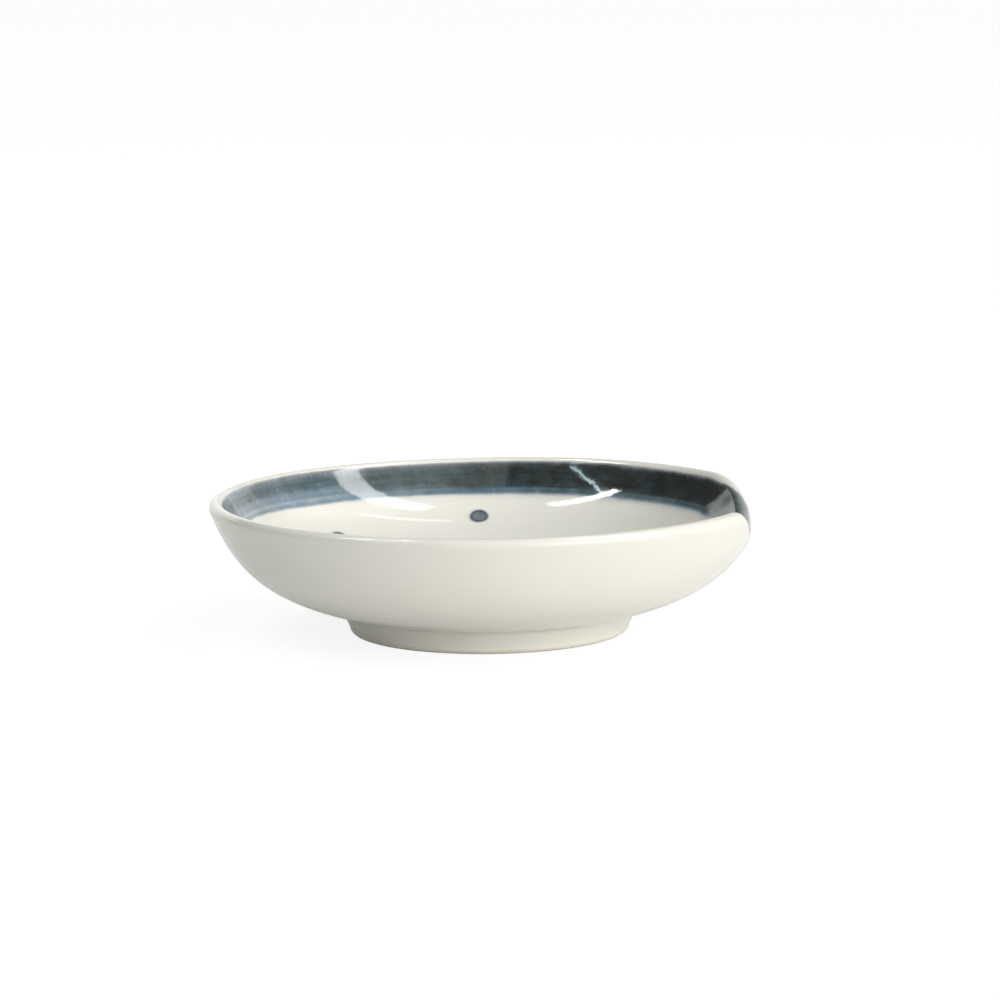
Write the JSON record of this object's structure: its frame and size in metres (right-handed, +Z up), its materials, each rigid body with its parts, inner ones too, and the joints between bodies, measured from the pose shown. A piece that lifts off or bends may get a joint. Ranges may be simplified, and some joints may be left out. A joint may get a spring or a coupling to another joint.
{
  "type": "soy sauce dish",
  "caption": "Shallow round dish of glazed porcelain on a low foot ring, for dipping sauce. Its rim has a low dip, and a dark brushed band and brushed dots run round the inside.",
  "frame": {"origin": "centre of the foot ring's standing face", "axes": "+Z up along the dish's axis, +X towards the dip in the rim, +Y towards the back"},
  "size_m": [0.0974, 0.1, 0.0244],
  "materials": {
    "ivory_glaze": "clear gloss glaze over warm white porcelain",
    "foot_glaze": "clear gloss glaze, wiped off the standing edge",
    "band_cobalt": "dark brushed cobalt under clear gloss glaze",
    "dot_cobalt": "thin brushed cobalt under clear gloss glaze"
  },
  "bodies": {
    "root": {"bowl": "ivory_glaze", "foot_ring": "foot_glaze", "brushed_band": "band_cobalt", "dot_back": "dot_cobalt", "dot_back_left": "dot_cobalt", "dot_front_left": "dot_cobalt", "dot_front": "dot_cobalt", "dot_front_right": "dot_cobalt", "dot_back_right": "dot_cobalt"}
  },
  "joints": []
}
